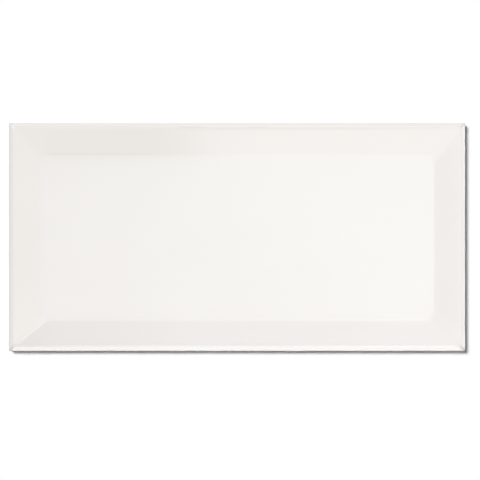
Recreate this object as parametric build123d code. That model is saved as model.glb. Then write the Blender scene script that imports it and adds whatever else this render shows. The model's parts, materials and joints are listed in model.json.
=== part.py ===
"""Bevelled wall tile: one pressed, fired and glazed ceramic piece, lying on its back with its face up.

Millimetres. The origin is the middle of the back. +X runs along the tile, +Y across it and +Z out of its
glazed face.
"""

import os

from build123d import *

# Driving dimensions
TILE_LENGTH = 200.0  # side to side, along X
TILE_WIDTH = 100.0  # side to side, along Y
FACE_HEIGHT = 7.0  # from the back to the raised flat face
EDGE_HEIGHT = 4.0  # from the back to the line where the bevel and the side would meet
BEVEL_WIDTH = 14.0  # seen from above, from the side to the ridge
RIDGE_RADIUS = 9.0  # softened ridge between the bevel and the flat face
ARRIS_RADIUS = 2.0  # rounded glazed edge between the bevel and the side
FOOT_RADIUS = 0.5  # rounded lower edge between the side and the back
CORNER_RADIUS = 0.6  # seen from above, at the four upright corners


def section(span):
    """The tile's cross-section over one span: flat back, upright sides, two bevels and the raised face."""
    half = span / 2
    ridge = half - BEVEL_WIDTH
    corners = Polyline(
        (-half, 0),
        (half, 0),
        (half, EDGE_HEIGHT),
        (ridge, FACE_HEIGHT),
        (-ridge, FACE_HEIGHT),
        (-half, EDGE_HEIGHT),
        close=True,
    )
    outline = make_face(corners)
    outline = fillet(outline.vertices().group_by(Axis.Y)[2], RIDGE_RADIUS)
    outline = fillet(outline.vertices().group_by(Axis.Y)[1], ARRIS_RADIUS)
    return fillet(outline.vertices().group_by(Axis.Y)[0], FOOT_RADIUS)


def end_block():
    """The block that bounds the +X end. Its slanting sides are the mitres, 45 degrees in from the corners."""
    half_length = TILE_LENGTH / 2
    half_width = TILE_WIDTH / 2
    mitre_reach = (BEVEL_WIDTH + half_width) / 2  # past the ridge, and short of the middle line
    plan = Polyline(
        (half_length, half_width),
        (half_length - mitre_reach, half_width - mitre_reach),
        (half_length - mitre_reach, mitre_reach - half_width),
        (half_length, -half_width),
        close=True,
    )
    return extrude(make_face(plan), FACE_HEIGHT)


def wall_tile():
    """One solid: the section across the width runs along the tile and mitres into that of each end."""
    block = end_block()
    end = block & extrude(Plane.XZ * section(TILE_LENGTH), TILE_WIDTH / 2, both=True)
    middle = extrude(Plane.YZ * section(TILE_WIDTH), TILE_LENGTH / 2, both=True)
    middle = middle - block - mirror(block, about=Plane.YZ)
    mitred = middle + end + mirror(end, about=Plane.YZ)
    return mitred & extrude(RectangleRounded(TILE_LENGTH, TILE_WIDTH, CORNER_RADIUS), FACE_HEIGHT)


os.makedirs("parts", exist_ok=True)
export_step(wall_tile(), "parts/wall_tile.step")
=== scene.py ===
# %% [markdown]
# # A bevelled wall tile
#
# The object is one oblong of pressed clay with white gloss glaze on its face. Its flat middle is raised, and
# a sloping margin, the bevel, runs all round it and meets in a mitre at each corner. It lies on its back, and
# the camera looks straight down on it. The lesson builds the tile by a rule in Geometry Nodes, then gives it
# its glaze, its bare clay underside and a light tent to shine in.
#
# The first cell loads the measured part. Everything later is placed in its frame, in metres.

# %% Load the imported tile
import json
import math

import bpy
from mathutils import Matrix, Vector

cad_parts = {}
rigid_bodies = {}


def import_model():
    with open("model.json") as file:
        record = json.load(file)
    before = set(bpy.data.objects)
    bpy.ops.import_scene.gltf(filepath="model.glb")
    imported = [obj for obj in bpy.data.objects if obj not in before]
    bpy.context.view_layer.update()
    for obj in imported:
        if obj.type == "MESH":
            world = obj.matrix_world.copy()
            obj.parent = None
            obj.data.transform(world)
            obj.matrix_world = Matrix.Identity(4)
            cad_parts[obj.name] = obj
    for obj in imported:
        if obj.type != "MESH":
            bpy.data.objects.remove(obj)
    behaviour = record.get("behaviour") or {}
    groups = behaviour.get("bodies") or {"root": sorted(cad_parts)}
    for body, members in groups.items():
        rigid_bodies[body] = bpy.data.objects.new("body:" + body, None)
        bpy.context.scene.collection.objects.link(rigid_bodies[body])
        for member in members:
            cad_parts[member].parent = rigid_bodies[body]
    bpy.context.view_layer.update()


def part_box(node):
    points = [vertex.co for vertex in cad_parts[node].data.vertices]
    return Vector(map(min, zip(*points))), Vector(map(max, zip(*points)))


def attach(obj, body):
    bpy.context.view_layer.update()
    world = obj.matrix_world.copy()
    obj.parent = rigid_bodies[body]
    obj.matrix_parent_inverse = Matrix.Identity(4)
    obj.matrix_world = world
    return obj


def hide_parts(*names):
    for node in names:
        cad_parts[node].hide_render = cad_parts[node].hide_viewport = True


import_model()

# %% [markdown]
# ## Sizes
#
# The outline and the height come from the measured part. The section needs a few sizes more: where the bevel
# ends, how high the side stands, and how soft each edge is. They are written in millimetres and turned into
# metres once, so that every later cell can use them as they are.

# %% Sizes of the tile
MM = 0.001
low_corner, high_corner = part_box("wall_tile")
TILE_LENGTH = high_corner.x - low_corner.x
TILE_WIDTH = high_corner.y - low_corner.y
FACE_HEIGHT = high_corner.z - low_corner.z
EDGE_HEIGHT = 4.0 * MM
BEVEL_WIDTH = 14.0 * MM
RIDGE_RADIUS = 9.0 * MM
FOOT_RADIUS = 0.5 * MM
CORNER_RADIUS = 0.6 * MM
BEVEL_ANGLE = math.atan2(FACE_HEIGHT - EDGE_HEIGHT, BEVEL_WIDTH)
print(f"tile {TILE_LENGTH / MM:.1f} x {TILE_WIDTH / MM:.1f} x {FACE_HEIGHT / MM:.1f} mm,",
      f"bevel {math.degrees(BEVEL_ANGLE):.1f} degrees")

# %% [markdown]
# ## Formulas in a node tree
#
# A node tree that follows a rule is mostly sums, and sums drawn as separate Math nodes are hard to read in a
# script. The helper class below stands for one output of a node. Adding or multiplying two of them adds the
# Math node and gives back its output, so a rule can be written as the formula that it is. The same helpers
# serve the materials.

# %% Helpers for node trees
class Wire:
    """One output of a node. A sum on wires adds a Math node to their tree."""

    def __init__(self, socket):
        self.socket = socket
        self.tree = socket.id_data

    def math(self, operation, *terms):
        node = self.tree.nodes.new("ShaderNodeMath")
        node.operation = operation
        for value, socket in zip((self, *terms), node.inputs):
            plug(value, socket)
        return Wire(node.outputs[0])

    def __add__(self, other):
        return self.math("ADD", other)

    def __sub__(self, other):
        return self.math("SUBTRACT", other)

    def __mul__(self, other):
        return self.math("MULTIPLY", other)

    def __truediv__(self, other):
        return self.math("DIVIDE", other)


def plug(value, socket):
    """Feeds a socket: a wire is linked to it, and anything else becomes its constant."""
    if isinstance(value, Wire):
        value.tree.links.new(value.socket, socket)
    else:
        socket.default_value = value


def add_node(tree, kind, inputs=None, **options):
    """Adds a node, sets its options and feeds the inputs that the dictionary names."""
    node = tree.nodes.new(kind)
    for name, value in options.items():
        setattr(node, name, value)
    for name, value in (inputs or {}).items():
        plug(value, next(socket for socket in node.inputs if socket.name == name and socket.enabled))
    return node


def add_wire(tree, kind, inputs=None, **options):
    """Adds a node as add_node does, and gives back its first output."""
    node = add_node(tree, kind, inputs, **options)
    return Wire(next(socket for socket in node.outputs if socket.enabled))


def split(vector):
    """The three coordinates of a vector."""
    node = add_node(vector.tree, "ShaderNodeSeparateXYZ", {"Vector": vector})
    return [Wire(socket) for socket in node.outputs]


def ramp(value, start, end, low=0.0, high=1.0, shape="SMOOTHSTEP"):
    """Turns a value that goes from start to end into one that goes from low to high, and holds it outside."""
    inputs = {"Value": value, "From Min": start, "From Max": end, "To Min": low, "To Max": high}
    return add_wire(value.tree, "ShaderNodeMapRange", inputs, interpolation_type=shape)


def hump(value, centre, width):
    """A smooth hump of height 1 about the centre."""
    steps = (value - centre) / width
    return (steps * steps * -0.5).math("EXPONENT")


print("node helpers ready")

# %% [markdown]
# ## The tile's tree and its section
#
# A pressed tile takes its shape from one cross-section, which runs round all four sides. So the tree starts
# by drawing that section as a curve: from the back, round the foot, up the side, over the eased edge that
# tilers call the arris, up the bevel, over the ridge and up a last slight crown to the flat face. X holds how
# far in from the side a point lies, and Z how high. Fillet Curve rounds the corners, each with its own
# radius, and Subdivide Curve adds points on long stretches, because the glaze's slow waves and its lower edge
# need somewhere to bend.

# %% Inputs of the tree
tile_tree = bpy.data.node_groups.new("wall_tile_form", "GeometryNodeTree")
tile_tree.interface.new_socket(name="Geometry", in_out="OUTPUT", socket_type="NodeSocketGeometry")
tree_in = tile_tree.nodes.new("NodeGroupInput")
tree_out = tile_tree.nodes.new("NodeGroupOutput")
input_values = {}


def tree_input(name, value, kind="NodeSocketFloat"):
    """Gives the tree a named input, notes the value that it will get, and returns its wire."""
    socket = tile_tree.interface.new_socket(name=name, in_out="INPUT", socket_type=kind)
    input_values[socket.identifier] = value
    return Wire(tree_in.outputs[name])


half_length = tree_input("Tile Length", TILE_LENGTH) * 0.5
half_width = tree_input("Tile Width", TILE_WIDTH) * 0.5
face_height = tree_input("Face Height", FACE_HEIGHT)
edge_height = tree_input("Edge Height", EDGE_HEIGHT)
bevel_width = tree_input("Bevel Width", BEVEL_WIDTH)
print("the tree's main sizes:", len(input_values))

# %% Corners of the section
BACK_MARGIN = 3.0 * MM
FLAT_MARGIN = 12.0 * MM
EASE_WIDTH = 2.0 * MM
EASE_SLOPE = math.tan(math.radians(34.0))
EASE_OUTER_RADIUS = 0.5 * MM
EASE_INNER_RADIUS = 7.5 * MM
CROWN_WIDTH = 3.0 * MM
CROWN_SLOPE = math.tan(math.radians(1.4))
CROWN_RADIUS = 100.0 * MM

ease_width = tree_input("Ease Width", EASE_WIDTH)
ease_top = edge_height + (face_height - edge_height) * ease_width / bevel_width
ease_foot = ease_top - ease_width * tree_input("Ease Slope", EASE_SLOPE)
crown_width = tree_input("Crown Width", CROWN_WIDTH)
ridge_height = face_height - crown_width * tree_input("Crown Slope", CROWN_SLOPE)
flat_start = bevel_width + tree_input("Flat Margin", FLAT_MARGIN)
section_corners = [
    (tree_input("Back Margin", BACK_MARGIN), 0.0, 0.0),
    (0.0, 0.0, tree_input("Foot Radius", FOOT_RADIUS)),
    (0.0, ease_foot, tree_input("Ease Outer Radius", EASE_OUTER_RADIUS)),
    (ease_width, ease_top, tree_input("Ease Inner Radius", EASE_INNER_RADIUS)),
    (bevel_width, ridge_height, tree_input("Ridge Radius", RIDGE_RADIUS)),
    (bevel_width + crown_width, face_height, tree_input("Crown Radius", CROWN_RADIUS)),
    (flat_start, face_height, 0.0),
]


def by_index(kind, values):
    """A wire that holds the first value at point 0, the next at point 1 and so on."""
    node = add_node(tile_tree, "GeometryNodeIndexSwitch", data_type=kind)
    while len(node.index_switch_items) < len(values):
        node.index_switch_items.new()
    plug(add_wire(tile_tree, "GeometryNodeInputIndex"), node.inputs["Index"])
    for number, value in enumerate(values):
        plug(value, node.inputs[str(number)])
    return Wire(node.outputs[0])


def place(x, y, z):
    """A position wire from three coordinates."""
    return add_wire(tile_tree, "ShaderNodeCombineXYZ", {"X": x, "Y": y, "Z": z})


corner_places = by_index("VECTOR", [place(inset, 0.0, height) for inset, height, radius in section_corners])
corner_radii = by_index("FLOAT", [radius for inset, height, radius in section_corners])
corner_points = add_wire(
    tile_tree, "GeometryNodePoints", {"Count": len(section_corners), "Position": corner_places}
)
section = add_wire(tile_tree, "GeometryNodePointsToCurves", {"Points": corner_points})
print("section corners:", len(section_corners))

# %% Rounded section with more points
ARC_STEPS = 10
RING_SPACING = 1.3 * MM
SIDE_SPACING = 0.25 * MM
SIDE_REACH = 0.1 * MM

section = add_wire(
    tile_tree,
    "GeometryNodeFilletCurve",
    {
        "Curve": section,
        "Count": tree_input("Arc Steps", ARC_STEPS, "NodeSocketInt"),
        "Radius": corner_radii,
        "Limit Radius": True,
    },
    mode="POLY",
)
point_index = add_wire(tile_tree, "GeometryNodeInputIndex")
point_place = add_wire(tile_tree, "GeometryNodeInputPosition")
point_x, point_y, point_z = split(point_place)
next_place = add_wire(
    tile_tree,
    "GeometryNodeFieldAtIndex",
    {"Value": point_place, "Index": point_index + 1},
    data_type="FLOAT_VECTOR",
)
gap_node = add_node(tile_tree, "ShaderNodeVectorMath", operation="DISTANCE")
plug(point_place, gap_node.inputs[0])
plug(next_place, gap_node.inputs[1])
gap = Wire(gap_node.outputs["Value"])
side_spacing = tree_input("Side Spacing", SIDE_SPACING)
ring_spacing = tree_input("Ring Spacing", RING_SPACING)
cuts = (gap / ramp(point_x, 0.0, SIDE_REACH, side_spacing, ring_spacing)).math("FLOOR")
section = add_wire(tile_tree, "GeometryNodeSubdivideCurve", {"Curve": section, "Cuts": cuts})
print("steps in each rounded corner:", ARC_STEPS)

# %% [markdown]
# ## Four mitred sides
#
# A sweep along a square path would pinch the section at the corners. Instead each side is a grid whose rows
# are the points of the section and whose columns run along the side. A row that lies further in is shorter
# by as much at both ends, so the ends of two neighbouring sides lie on the same 45 degree line, which is the
# mitre. Glaze fills and softens the mitre, most of all near the ridge, so it is rounded with a radius that
# grows inwards. The columns crowd towards the ends, where that rounding needs them.

# %% Rules for a side
LENGTH_COLUMNS = 190
WIDTH_COLUMNS = 100
END_CROWDING = 0.8
HIP_RADIUS = 4.5 * MM
ROUNDING_REACH = 1.25

end_crowding = tree_input("End Crowding", END_CROWDING)
corner_radius = tree_input("Corner Radius", CORNER_RADIUS)
hip_radius = tree_input("Hip Radius", HIP_RADIUS)


def whole(operation, first, second):
    """A sum on whole numbers, such as a division that drops the rest."""
    node = add_node(tile_tree, "FunctionNodeIntegerMath", operation=operation)
    plug(first, node.inputs[0])
    plug(second, node.inputs[1])
    return Wire(node.outputs[0])


def crowded(number, count):
    """Where column number of count lies along a side, from -1 to 1, with the columns closer at both ends."""
    even = number / (count - 1) * 2.0 - 1.0
    bunched = (even * (math.pi / 2)).math("SINE")
    return even + (bunched - even) * end_crowding


def rounded(along, across, inset):
    """Rounds the corner that two sides share, more at the ridge than outside, and not at all on the face."""
    growing = ramp(inset, 0.0, bevel_width, corner_radius, hip_radius, "LINEAR")
    radius = growing * ramp(inset, bevel_width * ROUNDING_REACH, flat_start, 1.0, 0.0)
    core_along = half_length - inset - radius
    core_across = half_width - inset - radius
    over_along = (along.math("ABSOLUTE") - core_along).math("MAXIMUM", 0.0)
    over_across = (across.math("ABSOLUTE") - core_across).math("MAXIMUM", 0.0)
    reach = (over_along * over_along + over_across * over_across).math("SQRT")
    drawn_in = radius / reach
    new_along = along.math("ABSOLUTE").math("MINIMUM", core_along) + over_along * drawn_in
    new_across = across.math("ABSOLUTE").math("MINIMUM", core_across) + over_across * drawn_in
    return new_along * along.math("SIGN"), new_across * across.math("SIGN")


print("rules for columns and corners ready")

# %% Long and short side
section_size = add_node(
    tile_tree, "GeometryNodeAttributeDomainSize", {"Geometry": section}, component="CURVE"
)
section_rows = Wire(section_size.outputs["Point Count"])
length_columns = tree_input("Length Columns", LENGTH_COLUMNS, "NodeSocketInt")
width_columns = tree_input("Width Columns", WIDTH_COLUMNS, "NodeSocketInt")


def moved_to(geometry, where):
    """The geometry with its points at the places that the wire gives."""
    return add_wire(tile_tree, "GeometryNodeSetPosition", {"Geometry": geometry, "Position": where})


def grid(rows, columns):
    """A grid, and the wires that number its rows and columns."""
    mesh = add_wire(tile_tree, "GeometryNodeMeshGrid", {"Vertices X": rows, "Vertices Y": columns})
    return mesh, whole("DIVIDE_FLOOR", point_index, columns), whole("MODULO", point_index, columns)


def side_strip(columns, end_on):
    """One side of the tile: the long +Y side, or the short +X side where end_on is true."""
    strip, row, column = grid(section_rows, columns)
    sample = {"Geometry": section, "Value": point_place, "Index": row}
    section_point = add_wire(tile_tree, "GeometryNodeSampleIndex", sample, data_type="FLOAT_VECTOR")
    inset, unused, height = split(section_point)
    share = crowded(column, columns)
    if end_on:
        along, across = rounded(half_length - inset, share * (inset - half_width), inset)
    else:
        along, across = rounded(share * (half_length - inset), half_width - inset, inset)
    return moved_to(strip, place(along, across, height))


long_side = side_strip(length_columns, end_on=False)
short_side = side_strip(width_columns, end_on=True)
print("columns along a long and a short side:", LENGTH_COLUMNS, WIDTH_COLUMNS)

# %% [markdown]
# ## The flat face, and one skin
#
# The face inside the ridge is a grid with the same columns, so its border meets the inner row of every side
# point for point. The two sides are turned by half a turn for the opposite ones, because a turn keeps the
# faces pointing outwards and a mirror would not. Merge by Distance then makes one skin of the five pieces.

# %% Face and weld
WELD_DISTANCE = 0.001 * MM

face_grid, face_row, face_column = grid(length_columns, width_columns)
face_along = crowded(face_row, length_columns) * (half_length - flat_start)
face_across = crowded(face_column, width_columns) * (half_width - flat_start)
face = moved_to(face_grid, place(face_along, face_across, face_height))


def half_turn(geometry):
    """The same geometry, turned by half a turn about the tile's upright axis."""
    turn = {"Geometry": geometry, "Rotation": (0.0, 0.0, math.pi)}
    return add_wire(tile_tree, "GeometryNodeTransform", turn)


def together(*pieces):
    """The pieces as one geometry."""
    node = add_node(tile_tree, "GeometryNodeJoinGeometry")
    for piece in pieces:
        plug(piece, node.inputs[0])
    return Wire(node.outputs[0])


def welded(*pieces):
    """The pieces as one mesh, with points that lie on each other merged."""
    weld = {"Geometry": together(*pieces), "Distance": WELD_DISTANCE}
    return add_wire(tile_tree, "GeometryNodeMergeByDistance", weld)


skin = welded(long_side, half_turn(long_side), short_side, half_turn(short_side), face)
print("skin: four sides and a face, open at the back")

# %% [markdown]
# ## The keyed back
#
# The press stamps shallow pockets into the back, so that the adhesive gets a grip. They repeat, so one pocket
# is made and set on a grid of points. The plate between them has to have a hole for each, and Fill Curve
# makes exactly that: it fills the border of the skin's open back and leaves out every pocket outline inside
# it. Each pocket is its outline, pushed in and drawn a little smaller, as a press needs it to let go.

# %% One pocket
KEY_COLUMNS = 12
KEY_ROWS = 6
KEY_FRAME = 5.0 * MM
KEY_RIB = 2.5 * MM
KEY_DEPTH = 0.5 * MM
KEY_CORNER_RADIUS = 1.5 * MM
KEY_CORNER_STEPS = 4
KEY_DRAFT = 0.95

key_columns = tree_input("Key Columns", KEY_COLUMNS, "NodeSocketInt")
key_rows = tree_input("Key Rows", KEY_ROWS, "NodeSocketInt")
key_frame = tree_input("Key Frame", KEY_FRAME)
key_rib = tree_input("Key Rib", KEY_RIB)
pitch_along = ((half_length - key_frame) * 2.0 + key_rib) / key_columns
pitch_across = ((half_width - key_frame) * 2.0 + key_rib) / key_rows

pocket_box = {"Width": pitch_along - key_rib, "Height": pitch_across - key_rib}
pocket_outline = add_wire(
    tile_tree,
    "GeometryNodeFilletCurve",
    {
        "Curve": add_wire(tile_tree, "GeometryNodeCurvePrimitiveQuadrilateral", pocket_box),
        "Count": KEY_CORNER_STEPS,
        "Radius": tree_input("Key Corner Radius", KEY_CORNER_RADIUS),
        "Limit Radius": True,
    },
    mode="POLY",
)
pocket_mouth = add_wire(tile_tree, "GeometryNodeFillCurve", {"Curve": pocket_outline}, mode="NGONS")
key_depth = tree_input("Key Depth", KEY_DEPTH)
pocket_node = add_node(
    tile_tree,
    "GeometryNodeExtrudeMesh",
    {"Mesh": pocket_mouth, "Offset": (0.0, 0.0, 1.0), "Offset Scale": key_depth},
)
pocket_mesh = Wire(pocket_node.outputs["Mesh"])
pocket_floor = Wire(pocket_node.outputs["Top"])
pocket_draft = {"Geometry": pocket_mesh, "Selection": pocket_floor, "Scale": KEY_DRAFT}
drafted_pocket = add_wire(tile_tree, "GeometryNodeScaleElements", pocket_draft)
pocket = add_wire(tile_tree, "GeometryNodeFlipFaces", {"Mesh": drafted_pocket})
print("one pocket,", KEY_DEPTH / MM, "mm deep")

# %% All pockets, and the plate between them
key_grid = add_wire(
    tile_tree,
    "GeometryNodeMeshGrid",
    {
        "Size X": pitch_along * (key_columns - 1),
        "Size Y": pitch_across * (key_rows - 1),
        "Vertices X": key_columns,
        "Vertices Y": key_rows,
    },
)


def on_key_grid(shape):
    """The shape, repeated on every point of the key grid as real geometry."""
    repeats = {"Points": key_grid, "Instance": shape}
    instances = add_wire(tile_tree, "GeometryNodeInstanceOnPoints", repeats)
    return add_wire(tile_tree, "GeometryNodeRealizeInstances", {"Geometry": instances})


def compared(first, second, kind, operation):
    """A wire that is true where the comparison holds."""
    terms = {"A": first, "B": second}
    return add_wire(tile_tree, "FunctionNodeCompare", terms, data_type=kind, operation=operation)


faces_at_edge = add_wire(tile_tree, "GeometryNodeInputMeshEdgeNeighbors")
border = {"Mesh": skin, "Selection": compared(faces_at_edge, 1, "INT", "EQUAL")}
back_border = add_wire(tile_tree, "GeometryNodeMeshToCurve", border)
outlines = together(back_border, on_key_grid(pocket_outline))
back_plate = add_wire(tile_tree, "GeometryNodeFillCurve", {"Curve": outlines}, mode="TRIANGLES")
back_plate = add_wire(tile_tree, "GeometryNodeFlipFaces", {"Mesh": back_plate})
closed_tile = welded(skin, back_plate, on_key_grid(pocket))
print("pockets in the back:", KEY_COLUMNS * KEY_ROWS)

# %% [markdown]
# ## Where the glaze ends
#
# Glaze is poured over the face and runs down the sides, so it stops short of the back in an uneven line, and
# below that line the bare clay shows. It also draws back from sharp edges as it melts, so it lies thin a
# little all round and in a broken fine line just inside the back edge, where it is darker. Along the left
# edge the glaze colour is darker still. On the slope it is only a touch thinner than on the face. The tree
# stores these three as attributes on the points, which the material reads later. The tree uses the first one
# too, because
# glaze has a thickness: the bare part of the side is set back a little.

# %% Glaze line and thin glaze
GLAZE_LINE = 1.3 * MM
GLAZE_RUNS = 2.2 * MM
GLAZE_RUNS_PER_METRE = 110.0
GLAZE_EDGE = 0.3 * MM
EDGE_DARKENING_SPAN = (0.0, 3.4 * MM)
LEFT_EDGE_DARKNESS = 1.0
THIN_ROUND = 0.15
THIN_LINE = 2.0 * MM
THIN_LINE_WIDTH = 0.25 * MM
THIN_LINE_SHARE = 0.45
THIN_LINE_PATCHES = (0.5, 0.7)
THIN_LINE_PATCHES_PER_METRE = 60.0
THIN_LINE_SEED = 1429
SLOPE_EDGE = 4.0 * MM
GLAZE_SEED = 7
NOISE_MIDDLE = 0.5


def noise(where, per_metre, detail=2.0, seed=GLAZE_SEED):
    """Soft random values about 0.5, with so many patches to a metre. Another seed gives another pattern."""
    inputs = {"Vector": where, "W": seed, "Scale": per_metre, "Detail": detail}
    return add_wire(where.tree, "ShaderNodeTexNoise", inputs, noise_dimensions="4D")


def with_attribute(geometry, name, value):
    """The geometry with a named number on each point."""
    attribute = {"Geometry": geometry, "Name": name, "Value": value}
    return add_wire(
        tile_tree, "GeometryNodeStoreNamedAttribute", attribute, data_type="FLOAT", domain="POINT"
    )


glaze_seed = tree_input("Glaze Seed", GLAZE_SEED)
glaze_runs = (noise(point_place, GLAZE_RUNS_PER_METRE, seed=glaze_seed) - NOISE_MIDDLE) * GLAZE_RUNS
glaze_line = glaze_runs + tree_input("Glaze Line", GLAZE_LINE)
glaze_cover = ramp(point_z, glaze_line - GLAZE_EDGE / 2, glaze_line + GLAZE_EDGE / 2)

inset_along = half_length - point_x.math("ABSOLUTE")
inset_across = half_width - point_y.math("ABSOLUTE")
point_inset = inset_along.math("MINIMUM", inset_across)
thin_line_seed = tree_input("Thin Line Seed", THIN_LINE_SEED)
thin_noise = noise(point_place, THIN_LINE_PATCHES_PER_METRE, seed=thin_line_seed)
thin_patches = ramp(thin_noise, *THIN_LINE_PATCHES, 0.0, THIN_LINE_SHARE)
thin_line = hump(half_width - point_y, THIN_LINE, THIN_LINE_WIDTH) * thin_patches
# The glaze colour is darker along the left edge, most at the outer edge and fading inwards.
left_edge_darkening = ramp(point_x + half_length, *EDGE_DARKENING_SPAN, LEFT_EDGE_DARKNESS, 0.0)
thin_round = ramp(point_inset, *EDGE_DARKENING_SPAN, THIN_ROUND, 0.0)
darker_glaze = left_edge_darkening.math("MAXIMUM", thin_round).math("MAXIMUM", thin_line)
slope = ramp(point_inset, bevel_width - SLOPE_EDGE, bevel_width + SLOPE_EDGE, 1.0, 0.0)
glazed_tile = with_attribute(closed_tile, "glaze", glaze_cover)
glazed_tile = with_attribute(glazed_tile, "darker_glaze", darker_glaze)
glazed_tile = with_attribute(glazed_tile, "slope", slope)
print(f"glaze line about {GLAZE_LINE / MM:.1f} mm up the side")

# %% [markdown]
# ## Slow waves
#
# Molten glaze settles in very slow waves. They are far too low to see as shapes, but they bend what the
# finished face mirrors, and that is what tells gloss glaze from plastic. Each point moves along its own
# normal, by noise, and only where there is glaze. Points on bare clay move straight in instead.

# %% Waves in the glaze
GLAZE_THICKNESS = 0.12 * MM
WAVE_HEIGHT = 0.07 * MM
WAVES_PER_METRE = 50.0


def scaled(vector, amount):
    """A vector times a number."""
    node = add_node(vector.tree, "ShaderNodeVectorMath", {"Vector": vector}, operation="SCALE")
    plug(amount, node.inputs["Scale"])
    return Wire(node.outputs["Vector"])


def vector_sum(first, second):
    """Two vectors added."""
    node = add_node(first.tree, "ShaderNodeVectorMath", operation="ADD")
    plug(first, node.inputs[0])
    plug(second, node.inputs[1])
    return Wire(node.outputs["Vector"])


point_normal = add_wire(tile_tree, "GeometryNodeInputNormal")
normal_x, normal_y, normal_z = split(point_normal)
bare_step = (glaze_cover - 1.0) * tree_input("Glaze Thickness", GLAZE_THICKNESS)
waves = noise(point_place, WAVES_PER_METRE, detail=1.0, seed=glaze_seed) - NOISE_MIDDLE
wave_step = waves * tree_input("Wave Height", WAVE_HEIGHT) * glaze_cover
glaze_offset = vector_sum(
    scaled(place(normal_x, normal_y, 0.0), bare_step),
    scaled(point_normal, wave_step),
)
wavy_tile = add_wire(
    tile_tree, "GeometryNodeSetPosition", {"Geometry": glazed_tile, "Offset": glaze_offset}
)
print(f"waves up to {WAVE_HEIGHT / 2 / MM:.3f} mm, bare clay set back {GLAZE_THICKNESS / MM:.2f} mm")

# %% [markdown]
# ## Glaze and clay in one material
#
# The tile is one fired piece, so it has one material. Principled carries both finishes, and the stored
# attribute says which one a point has. The glaze is a milky white, a touch warm, with faint clouds where it
# lies thicker, a rosy tint on the slope, where the clay shows through a little, and a duller tone where it is
# thin and along the left edge. It is as smooth as glass but for a slight orange peel. The clay is cream, matt
# and grainy. The index of refraction is the same for both, so it sits on the shader's own socket.

# %% Material helpers
tile_material = bpy.data.materials.new("white_glaze_on_clay")


def empty_tree(owner):
    """The node tree of a material or world, cleared of what Blender puts there."""
    owner.use_nodes = True
    owner.node_tree.nodes.clear()
    return owner.node_tree


def mixed(share, first, second, kind="RGBA"):
    """The first value where share is 0 and the second where it is 1."""
    node = add_node(share.tree, "ShaderNodeMix", data_type=kind)
    usable = [socket for socket in node.inputs if socket.enabled]
    for value, socket in zip((share, first, second), usable):
        plug(value, socket)
    return Wire(next(socket for socket in node.outputs if socket.enabled))


def stored(tree, name):
    """A number that the tile's tree stored on the points."""
    node = add_node(tree, "ShaderNodeAttribute", attribute_type="GEOMETRY", attribute_name=name)
    return Wire(node.outputs["Fac"])


print("material helpers ready")

# %% Glaze and clay
GLAZE_WHITE = (0.808, 0.788, 0.758, 1.0)
GLAZE_SHADE = (0.798, 0.777, 0.747, 1.0)
# The darker glaze tone, used where the glaze is thin and along the left edge.
GLAZE_DARKER = (0.630, 0.615, 0.605, 1.0)
SLOPE_TINT = (1.007, 0.992, 0.995, 1.0)
CLAY_CREAM = (0.700, 0.630, 0.530, 1.0)
CLAY_SHADE = (0.600, 0.525, 0.425, 1.0)
GLAZE_BORDER = (0.4, 0.6)
CLOUDS_PER_METRE = 22.0
CLOUD_RANGE = (0.35, 0.65)
MOTTLE_PER_METRE = 260.0
MOTTLE_RANGE = (0.4, 0.7)
GRAIN_PER_METRE = 1600.0
PEEL_PER_METRE = 320.0
PEEL_HEIGHT = 0.0015 * MM
GRAIN_HEIGHT = 0.05 * MM
GLAZE_ROUGHNESS = 0.07
CLAY_ROUGHNESS = 0.85
GLAZE_IOR = 1.55

glaze_tree = empty_tree(tile_material)
tile_place = Wire(add_node(glaze_tree, "ShaderNodeTexCoord").outputs["Object"])
on_glaze = ramp(stored(glaze_tree, "glaze"), *GLAZE_BORDER)
on_slope = stored(glaze_tree, "slope")
clouds = ramp(noise(tile_place, CLOUDS_PER_METRE, detail=3.0), *CLOUD_RANGE)
mottle = ramp(noise(tile_place, MOTTLE_PER_METRE, detail=4.0), *MOTTLE_RANGE)


def tinted_on_slope(colour):
    """A glaze colour that takes the slope's tint where the slope is."""
    return mixed(on_slope, colour, [part * tint for part, tint in zip(colour, SLOPE_TINT)])


thick_glaze = mixed(clouds, tinted_on_slope(GLAZE_WHITE), tinted_on_slope(GLAZE_SHADE))
# The darker tone where the glaze is thin and along the left edge.
glaze_colour = mixed(stored(glaze_tree, "darker_glaze"), thick_glaze, GLAZE_DARKER)
clay_colour = mixed(mottle, CLAY_CREAM, CLAY_SHADE)
grain = noise(tile_place, GRAIN_PER_METRE, detail=3.0) * GRAIN_HEIGHT
peel = noise(tile_place, PEEL_PER_METRE, detail=1.0) * PEEL_HEIGHT
surface_relief = mixed(on_glaze, grain, peel, kind="FLOAT")
bent_normal = add_wire(
    glaze_tree, "ShaderNodeBump", {"Strength": 1.0, "Distance": 1.0, "Height": surface_relief}
)
tile_shader = add_wire(
    glaze_tree,
    "ShaderNodeBsdfPrincipled",
    {
        "Base Color": mixed(on_glaze, clay_colour, glaze_colour),
        "Roughness": mixed(on_glaze, CLAY_ROUGHNESS, GLAZE_ROUGHNESS, kind="FLOAT"),
        "IOR": GLAZE_IOR,
        "Normal": bent_normal,
    },
)
add_node(glaze_tree, "ShaderNodeOutputMaterial", {"Surface": tile_shader})
print("material nodes:", len(glaze_tree.nodes))

# %% [markdown]
# ## Running the tree
#
# The tree ends by smoothing the shading, except across the sharp edges of the pockets, and by giving every
# face the material. Then it is put on an empty mesh as a modifier, its inputs are set by their identifiers,
# and the result is copied out as a plain mesh. The piece that is kept has no modifier and no instances.

# %% End of the tree
SHARP_ANGLE = math.radians(40.0)


def shaded(geometry, smooth, domain):
    """The geometry with smooth shading where the wire or value says so."""
    shading = {"Geometry": geometry, "Shade Smooth": smooth}
    return add_wire(tile_tree, "GeometryNodeSetShadeSmooth", shading, domain=domain)


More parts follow.
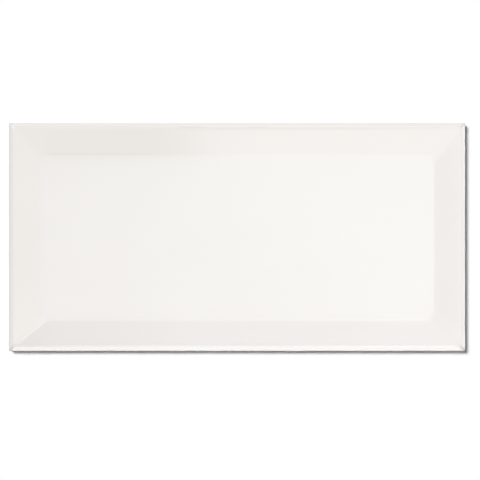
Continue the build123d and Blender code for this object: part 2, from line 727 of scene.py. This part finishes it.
fold = add_wire(tile_tree, "GeometryNodeInputMeshEdgeAngle")
smooth_tile = shaded(wavy_tile, True, "FACE")
smooth_tile = shaded(smooth_tile, compared(fold, SHARP_ANGLE, "FLOAT", "LESS_THAN"), "EDGE")
real_tile = add_wire(tile_tree, "GeometryNodeRealizeInstances", {"Geometry": smooth_tile})
finish_input = tree_input("Finish", tile_material, "NodeSocketMaterial")
finished_tile = add_wire(
    tile_tree, "GeometryNodeSetMaterial", {"Geometry": real_tile, "Material": finish_input}
)
plug(finished_tile, tree_out.inputs[0])
print("nodes in the tile's tree:", len(tile_tree.nodes), "with", len(input_values), "inputs")

# %% Tile object
studio = bpy.context.scene.collection.objects
carrier = bpy.data.objects.new("tile_carrier", bpy.data.meshes.new("tile_carrier"))
studio.link(carrier)
form = carrier.modifiers.new("form", "NODES")
form.node_group = tile_tree
for identifier, value in input_values.items():
    form[identifier] = value
carrier.update_tag()

evaluated = carrier.evaluated_get(bpy.context.evaluated_depsgraph_get())
tile_mesh = bpy.data.meshes.new_from_object(evaluated)
tile_mesh.name = "glazed_wall_tile"
tile_mesh.materials.pop(index=0)
bpy.data.objects.remove(carrier)
tile = bpy.data.objects.new("glazed_wall_tile", tile_mesh)
studio.link(tile)
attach(tile, "root")
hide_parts("wall_tile")
triangles = sum(len(face.vertices) - 2 for face in tile_mesh.polygons)
print("tile:", len(tile_mesh.vertices), "points,", triangles, "triangles,",
      {tile_mesh.materials[face.material_index].name for face in tile_mesh.polygons})

# %% [markdown]
# ## Floor
#
# A product photographer lays the tile on a white sheet. The sheet is a large plane just under the tile, and
# it keeps the tile's shadow. The camera sees it white, with a small glow that lifts it to pure white, so that
# it loses its edges in the white surroundings. For light that scatters from it the sheet is grey, and in a
# mirror it is half way between. A sheet that was white for every ray would fill the shadow with light.

# %% White floor
FLOOR_REACH = 6.0
FLOOR_DROP = 0.05 * MM
FLOOR_WHITE = (0.99, 0.99, 0.99, 1.0)
FLOOR_GREY = (0.50, 0.50, 0.50, 1.0)
FLOOR_GLOW = 0.015
FLOOR_MIRRORED = 0.5


def stage_sheet(name, corners, material):
    """A four-sided sheet of the studio, marked as stage."""
    mesh = bpy.data.meshes.new(name)
    mesh.from_pydata(corners, [], [(0, 1, 2, 3)])
    mesh.materials.append(material)
    sheet = bpy.data.objects.new(name, mesh)
    studio.link(sheet)
    return sheet


def level_sheet(name, reach, height, material):
    """A square level sheet about the tile."""
    signs = ((-1, -1), (1, -1), (1, 1), (-1, 1))
    return stage_sheet(name, [(x * reach, y * reach, height) for x, y in signs], material)


def seen_directly(tree, mirrored_share=1.0):
    """1 for rays that are seen straight or through glass, 0 for scattered light, and a share in a mirror."""
    rays = add_node(tree, "ShaderNodeLightPath").outputs
    straight, mirrored = Wire(rays["Is Camera Ray"]), Wire(rays["Is Glossy Ray"])
    return (mirrored * mirrored_share + straight + Wire(rays["Is Transmission Ray"])).math("MINIMUM", 1.0)


floor_material = bpy.data.materials.new("white_sheet")
floor_tree = empty_tree(floor_material)
floor_seen = seen_directly(floor_tree, FLOOR_MIRRORED)
floor_colour = mixed(floor_seen, FLOOR_GREY, FLOOR_WHITE)
floor_sum = add_node(floor_tree, "ShaderNodeAddShader")
plug(add_wire(floor_tree, "ShaderNodeBsdfDiffuse", {"Color": floor_colour}), floor_sum.inputs[0])
plug(add_wire(floor_tree, "ShaderNodeEmission", {"Strength": floor_seen * FLOOR_GLOW}), floor_sum.inputs[1])
add_node(floor_tree, "ShaderNodeOutputMaterial", {"Surface": Wire(floor_sum.outputs[0])})
floor_height = low_corner.z - FLOOR_DROP
level_sheet("floor", FLOOR_REACH, floor_height, floor_material)
print("floor at", round(floor_height, 5))

# %% [markdown]
# ## Light
#
# One large soft key lamp comes from the upper left and casts the narrow shadow along the right and lower
# sides. The white surroundings fill in the rest. Together they light a level surface at strength 1, so that
# a colour renders about as it is written. Mirrored rays do not see the lamp, because the light tent of the
# next step is there for them.

# %% Key lamp and surroundings
KEY_PLACE = (-0.60, 0.50, 1.0)
KEY_SHARE = 0.84
KEY_SPREAD = math.radians(22.0)
FILL_SHARE = 1.0 - KEY_SHARE
PURE_WHITE = (1.0, 1.0, 1.0, 1.0)

key_x, key_y, key_z = KEY_PLACE
key_distance = math.hypot(*KEY_PLACE)
key_data = bpy.data.lights.new("key_lamp", "SUN")
key_data.energy = KEY_SHARE * math.pi * key_distance / key_z
key_data.angle = KEY_SPREAD
key = bpy.data.objects.new("key_lamp", key_data)
key.rotation_euler = (-math.asin(key_y / key_distance), math.atan2(key_x, key_z), 0.0)
key.visible_glossy = False
studio.link(key)

world = bpy.data.worlds.new("white_surroundings")
bpy.context.scene.world = world
world_tree = empty_tree(world)
surroundings = add_wire(
    world_tree,
    "ShaderNodeBackground",
    {"Color": PURE_WHITE, "Strength": seen_directly(world_tree) * KEY_SHARE + FILL_SHARE},
)
add_node(world_tree, "ShaderNodeOutputWorld", {"Surface": surroundings})
print(f"key lamp {key_data.energy:.2f}, surroundings {FILL_SHARE:.2f}")

# %% [markdown]
# ## What the glaze mirrors
#
# Gloss shows only what there is to mirror. Above the tile hangs the roof of a light tent, bright on the right
# and along its front edge, and dim on the left and in its corners. The flat face mirrors the middle of it,
# and each bevel mirrors a place further out, so the four bevels and the face take different tones although
# they are all one glaze. Cards and lights on the roof change single places: the dark card, for example, is
# the shaded patch on the upper bevel, and the mitre light sets off the lower left mitre.
#
# Pale walls close the tent at the sides. They show in the rounded edges, and in the face when it is seen from
# low down. A light in the roof's back left corner and the bright wall corners on the left keep the bevels
# white when the tile is seen from the right. Two upright strips draw the bright lines along the right and the
# lower edge. None of these sheets lights anything: only mirrored rays see them.

# %% Helpers for the light tent
def band(value, start, end, start_softness, end_softness):
    """1 between start and end and 0 outside, with soft borders."""
    entering = ramp(value, start - start_softness, start + start_softness)
    leaving = ramp(value, end - end_softness, end + end_softness, 1.0, 0.0)
    return entering * leaving


def glow_material(name, strength_rule):
    """A material that glows by a rule on the place on the sheet."""
    material = bpy.data.materials.new(name)
    tree = empty_tree(material)
    sheet_place = Wire(add_node(tree, "ShaderNodeTexCoord").outputs["Object"])
    emission = add_wire(tree, "ShaderNodeEmission", {"Strength": strength_rule(*split(sheet_place))})
    add_node(tree, "ShaderNodeOutputMaterial", {"Surface": emission})
    return material


def mirrored_only(sheet):
    """Hides a sheet from all but mirrored rays."""
    sheet.visible_camera = False
    sheet.visible_diffuse = False
    sheet.visible_transmission = False
    sheet.visible_shadow = False


print("tent helpers ready")

# %% Roof of the light tent
ROOF_HEIGHT = 1.2
ROOF_REACH = 1.6
ROOF_LEFT, ROOF_RIGHT = -0.45, 0.30
ROOF_DIM, ROOF_BRIGHT = 2.20, 4.12
LEFT_END, LEFT_START, LEFT_SHARE = -0.88, -0.27, 0.23
BACK_START, BACK_END, BACK_SHARE = 0.0, 0.7, 0.52
BACK_EDGE, BACK_EDGE_SHARE = 1.3, 0.5
RIGHT_EDGE, RIGHT_EDGE_LIFT = 0.6, 0.8
FRONT_EDGE, FRONT_EDGE_LIFT = -0.88, 1.5
CORNER_START, CORNER_END, CORNER_SHARE = 0.5, 1.4, 0.12


def open_roof(x, y):
    """The roof without its panels: bright on the right and in front, dim on the left and in its corners."""
    sideways = ramp(x, ROOF_LEFT, ROOF_RIGHT, ROOF_DIM, ROOF_BRIGHT)
    leftwards = ramp(x, LEFT_END, LEFT_START, LEFT_SHARE, 1.0, "LINEAR")
    backwards = ramp(y, BACK_START, BACK_END, 1.0, BACK_SHARE)
    back_edge = ramp(y, BACK_END, BACK_EDGE, 1.0, BACK_EDGE_SHARE)
    right_edge = ramp(x, RIGHT_EDGE, ROOF_REACH, 1.0, 1.0 + RIGHT_EDGE_LIFT, "LINEAR")
    front_edge = ramp(y, -ROOF_REACH, FRONT_EDGE, 1.0 + FRONT_EDGE_LIFT, 1.0, "LINEAR")
    corners = ramp((x * y).math("ABSOLUTE"), CORNER_START, CORNER_END, 1.0, CORNER_SHARE)
    return sideways * leftwards * backwards * back_edge * right_edge * front_edge * corners


# Each panel: its span in X, its span in Y, and by what share it lifts or lowers the roof's glow.
# A span is where it starts and ends, and how soft its two borders are.
ROOF_PANELS = {
    "dark card": ((-0.29, -0.075, 0.03, 0.075), (0.22, 1.10, 0.20, 0.10), -1.0),
    "left card": ((-1.30, -0.29, 0.10, 0.03), (0.22, 1.10, 0.20, 0.10), -0.75),
    "back card": ((-1.30, 0.25, 0.10, 0.15), (0.80, 1.45, 0.06, 0.10), -0.85),
    "grey card": ((0.50, 1.10, 0.05, 0.10), (-0.14, 0.15, 0.02, 0.02), -0.135),
    "front light": ((-0.40, 0.36, 0.05, 0.04), (-0.60, -0.34, 0.03, 0.20), 0.36),
    "front sheet": ((-0.28, 0.45, 0.04, 0.10), (-0.80, -0.62, 0.06, 0.03), 0.06),
    "front left sheet": ((-0.28, 0.06, 0.04, 0.06), (-0.80, -0.62, 0.06, 0.03), 0.09),
    "right light": ((0.36, 0.49, 0.10, 0.04), (-0.14, 0.12, 0.02, 0.03), 0.14),
    "front edge light": ((-0.80, -0.05, 0.10, 0.15), (-1.50, -0.90, 0.10, 0.05), 0.25),
    "left light": ((-1.30, -0.75, 0.10, 0.08), (-0.60, -0.13, 0.10, 0.05), 1.2),
    "mitre light": ((-0.68, -0.345, 0.06, 0.02), (-0.72, -0.25, 0.03, 0.06), 0.62),
    "front right light": ((0.27, 1.00, 0.03, 0.10), (-0.80, -0.69, 0.05, 0.012), 0.10),
    "back right light": ((0.45, 1.00, 0.10, 0.10), (0.25, 0.75, 0.10, 0.12), 0.15),
}

# The corner light fills the roof's back left corner, beyond a slanting line and clear of the middle lines.
CORNER_LIGHT = 2.2
CORNER_LIGHT_SLANT = (1.4, 1.7)
CORNER_LIGHT_BACK = (0.30, 0.45)
CORNER_LIGHT_LEFT = (-0.60, -0.45)


def corner_light(x, y):
    """The light in the back left corner. The near bevels mirror it when they are seen from the right."""
    corner = ramp(x, *CORNER_LIGHT_LEFT, 1.0, 0.0) * ramp(y, *CORNER_LIGHT_BACK)
    return corner * ramp(y - x, *CORNER_LIGHT_SLANT, 0.0, CORNER_LIGHT)


def roof_strength(x, y, z):
    """How bright the roof is at a place above the tile."""
    strength = open_roof(x, y)
    for span_x, span_y, change in ROOF_PANELS.values():
        strength = strength * (band(x, *span_x) * band(y, *span_y) * change + 1.0)
    return strength + corner_light(x, y)


roof = level_sheet("tent_roof", ROOF_REACH, ROOF_HEIGHT, glow_material("tent_roof", roof_strength))
mirrored_only(roof)
print("tent roof at", ROOF_HEIGHT, "m, with", ", ".join(ROOF_PANELS))

# %% Walls and strips of the light tent
SIDES = ("right", "back", "left", "front")
STRIP_DISTANCE = 1.5
STRIP_REACH = 0.5
STRIP_LOW, STRIP_HIGH = 0.05, 1.12
STRIP_GLOWS = {"right": (9.5, 4.8), "front": (9.5, 8.0)}
STRIP_LEFT, STRIP_LEFT_SHARE = -0.45, 0.9
WALL_GLOW = 0.75
WALL_LEFT, WALL_RIGHT = -0.25, 0.0
WALL_FRONT, WALL_BACK = -1.0, 0.0
WALL_CHANGE_HEIGHTS = (0.75, 0.95)
WALL_CORNER = (0.5, 0.9)
LEFT_CHANGE, LEFT_CORNER_CHANGE, RIGHT_CHANGE = -0.70, 0.60, 1.05


def upright_sheet(name, turn, distance, reach, heights, strength_rule):
    """A glowing sheet that stands beside the tile, so many quarter turns round from the right."""
    sine, cosine = math.sin(turn * math.pi / 2), math.cos(turn * math.pi / 2)
    low, high = heights
    corners = [
        (distance * cosine - side * sine, distance * sine + side * cosine, height)
        for side, height in ((-reach, low), (reach, low), (reach, high), (-reach, high))
    ]
    mirrored_only(stage_sheet(name, corners, glow_material(name, strength_rule)))


def wall_strength(x, y, z):
    """Walls are pale below. Above, the left is dim between bright corners, and the right is bright behind."""
    from_middle = x.math("ABSOLUTE").math("MINIMUM", y.math("ABSOLUTE"))
    left_change = ramp(from_middle, *WALL_CORNER, LEFT_CHANGE, LEFT_CORNER_CHANGE)
    right_change = ramp(y, WALL_FRONT, WALL_BACK, 0.0, RIGHT_CHANGE)
    change = ramp(x, WALL_LEFT, WALL_RIGHT, left_change, right_change)
    return change * ramp(z, *WALL_CHANGE_HEIGHTS) + WALL_GLOW


def strip_strength(glow):
    """The rule of a strip that has one glow at its foot and another at its top, and fades to the left."""

    def strength_rule(x, y, z):
        fading = ramp(x, STRIP_LEFT, 0.0, STRIP_LEFT_SHARE, 1.0)
        return ramp(z, STRIP_LOW, STRIP_HIGH, *glow, "LINEAR") * fading

    return strength_rule


wall_heights = (floor_height, ROOF_HEIGHT)
strip_heights = (STRIP_LOW, STRIP_HIGH)
for turn, side_name in enumerate(SIDES):
    upright_sheet(f"tent_{side_name}", turn, ROOF_REACH, ROOF_REACH, wall_heights, wall_strength)
for side_name, glow in STRIP_GLOWS.items():
    turn = SIDES.index(side_name)
    strip_rule = strip_strength(glow)
    upright_sheet(f"{side_name}_strip", turn, STRIP_DISTANCE, STRIP_REACH, strip_heights, strip_rule)
print("tent walls at", ROOF_REACH, "m and light strips at", STRIP_DISTANCE, "m")

# %% [markdown]
# ## Camera
#
# The photograph is a straight look down with a long lens. Its distance follows from the tile's length in the
# picture, and its place from where the middle of the tile falls.

# %% Camera over the tile
PICTURE_SIZE = 480.0
TILE_IN_PICTURE = 456.2
MIDDLE_IN_PICTURE = (236.9, 236.9)
LENS_LENGTH = 100.0
SENSOR_WIDTH = 36.0
CLIP_START = 0.01
OUTLINE_HEIGHT = 2.5 * MM

picture_width = TILE_LENGTH * PICTURE_SIZE / TILE_IN_PICTURE
camera_distance = picture_width * LENS_LENGTH / SENSOR_WIDTH
metres_per_pixel = picture_width / PICTURE_SIZE
camera_data = bpy.data.cameras.new("camera")
camera_data.lens = LENS_LENGTH
camera_data.sensor_width = SENSOR_WIDTH
camera_data.clip_start = CLIP_START
camera = bpy.data.objects.new("camera", camera_data)
camera.location = (
    (PICTURE_SIZE / 2 - MIDDLE_IN_PICTURE[0]) * metres_per_pixel,
    (MIDDLE_IN_PICTURE[1] - PICTURE_SIZE / 2) * metres_per_pixel,
    OUTLINE_HEIGHT + camera_distance,
)
studio.link(camera)
bpy.context.scene.camera = camera
bpy.context.scene.view_settings.view_transform = "Standard"
print("camera at", [round(value, 4) for value in camera.location])
